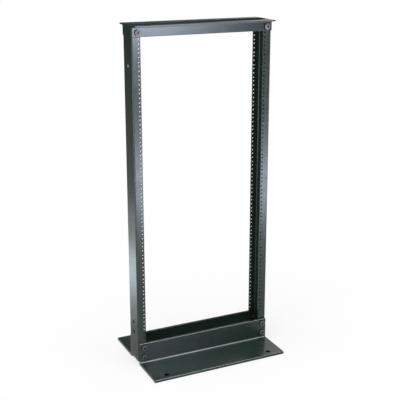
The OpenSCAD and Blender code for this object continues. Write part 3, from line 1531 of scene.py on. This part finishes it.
@dataclass
class Studio:
    """The plain pale floor, the white surround, the lamp and cards, and the camera."""

    view: Viewpoint = field(default_factory=Viewpoint)
    floor_half: float = 60.0
    floor_colour: Triple = (0.93, 0.93, 0.93)
    floor_lift: float = 0.6
    ambient: float = 0.55
    ceiling: Ceiling = Ceiling("ceiling_light", (0.25, 0.35, -1.0), 70.0, 1.8)
    glows: Tuple[GlowCard, ...] = (
        GlowCard("web_glow", (-0.56, 0.85, 0.004), (0.42, 0, 0), (0, 0.53, 0), 3.9, Tint.CYAN),
        GlowCard("flange_glow", (0.98, -2.19, 0.004), (1.14, 0, 0), (0, 1.08, 0), 26.5, Tint.BLUE),
        GlowCard("top_glow", (0.54, -2.09, 1.18), (0.60, 0.22, 0), (0, 0, 0.35), 45.0, Tint.BLUE),
        GlowCard("overhead_glow", (1.1, -1.3, 2.6), (1.5, 0, 0), (0, 0.9, 0), 30.0, Tint.LILAC),
        GlowCard("left_glow", (-3.0, -0.9, 0.42), (0, 2.6, 0), (0, 0, 0.60), 8.0, Tint.PEARL),
        GlowCard("left_low_glow", (-2.2, -0.8, 0.005), (0.9, 0, 0), (0, 2.2, 0), 5.0, Tint.PEARL),
    )
    shades: Tuple[ShadeCard, ...] = (
        ShadeCard("back_left_shade", (-1.25, 1.75, 0.95), (1.05, 0, 0), (0, 0, 0.95), 0.42, 0.03),
        ShadeCard(
            "near_left_shade", (-0.70, 0.10, 0.006), (0.436, 0, 0), (0, 0.20, 0), 0.35, 0.55, fall=1.0,
        ),
        ShadeCard("left_shade", (-6.0, -1.0, 2.0), (0, 6.0, 0), (0, 0, 2.0), 0.06, 0.03),
        ShadeCard("right_shade", (6.0, -1.0, 2.0), (0, 6.0, 0), (0, 0, 2.0), 0.10, 0.05),
        ShadeCard("front_right_shade", (3.0, -3.5, 0.7), (0, 0, 0.7), (1.2, 0, 0), 1.0, 0.1, 6.0),
        ShadeCard("back_shade", (0.65, 4.5, 3.15), (0, 0, 1.85), (-2.65, 0, 0), 2.2, 0.04, 11.0),
    )

    def floor_material(self) -> Material:
        """Makes the pale floor: plain matt, and lifted toward white where the camera sees it.

        Returns:
            The material.
        """
        made = bpy.data.materials.new("pale_floor")
        tree = emptied(made)
        matt = add_node(tree, "BsdfDiffuse", {"Color": rgba(self.floor_colour)})
        glow = add_node(tree, "Emission", {"Strength": 1.0})
        seen = add_node(tree, "LightPath").outputs["Is Camera Ray"]
        lift = work_out(tree, "MULTIPLY", seen, self.floor_lift)
        mix = add_node(tree, "MixShader", {0: lift, 1: matt.outputs[0], 2: glow.outputs[0]})
        add_node(tree, "OutputMaterial", {"Surface": mix.outputs[0]})
        return made

    def surround(self) -> None:
        """Makes the world: white to the camera and in reflections, a soft light to the rest."""
        world = bpy.context.scene.world = bpy.data.worlds.new("surround")
        tree = emptied(world)
        path = add_node(tree, "LightPath").outputs
        seen = work_out(tree, "MAXIMUM", path["Is Camera Ray"], path["Is Glossy Ray"])
        seen = work_out(tree, "MAXIMUM", seen, path["Is Transmission Ray"])
        level = add_node(tree, "MapRange", {"Value": seen, "To Min": self.ambient, "To Max": 1.0})
        white = {"Color": rgba((1.0, 1.0, 1.0)), "Strength": level.outputs["Result"]}
        back = add_node(tree, "Background", white)
        add_node(tree, "OutputWorld", {"Surface": back.outputs[0]})

    def build(self) -> None:
        """Sets up the whole studio."""
        bpy.context.scene.view_settings.view_transform = "Standard"
        self.surround()
        half = self.floor_half
        stage_card("floor", (0, 0, 0), (half, 0, 0), (0, half, 0), self.floor_material())
        for part in (self.ceiling, *self.glows, *self.shades):
            part.build()
            log.info("studio: %s", part.name)
        self.view.build()


# ---------------------------------------------------------------- the rack


@dataclass
class Rack:
    """The whole rack: posts, angles and their fasteners."""

    fixings: Fixings
    paint: Material
    steel: Material
    oxide: Material

    def bars(self) -> List[Piece]:
        """Builds the two posts and the four angles.

        Returns:
            The six pieces.
        """
        parts = [
            Post("left_post", self.fixings, -1.0),
            Post("right_post", self.fixings, 1.0),
            AngleBar("front_top_angle", self.fixings, End.FRONT),
            AngleBar("back_top_angle", self.fixings, End.BACK),
            BaseAngle("front_base_angle", self.fixings, End.FRONT),
            BaseAngle("back_base_angle", self.fixings, End.BACK),
        ]
        return [part.build(self.paint) for part in parts]

    def fasteners(self) -> List[Piece]:
        """Builds a bolt for every solid named as a bolt, and a nut for every one named as a nut.

        Returns:
            The pieces.
        """
        makers: Dict[str, Tuple[Callable[[str], object], Material]] = {
            "_bolt_": (ButtonBolt, self.steel), "_nut_": (HexNut, self.oxide),
        }
        return [
            maker(node).build(finish)
            for node in sorted(frame["nodes"])
            for mark, (maker, finish) in makers.items()
            if mark in node
        ]


def main() -> None:
    """Builds the rack, then the studio round it."""
    logging.basicConfig(level=logging.INFO, format="%(name)s: %(message)s")
    groups = Groups.make()
    finishes = [skin.material(groups) for skin in (SATIN_BLACK, DULL_STEEL, BLACK_OXIDE)]
    rack = Rack(Fixings.from_record(frame["record"]), *finishes)
    pieces = rack.bars() + rack.fasteners()
    log.info("%d pieces", len(pieces))
    Studio().build()


if __name__ == "__main__":
    main()
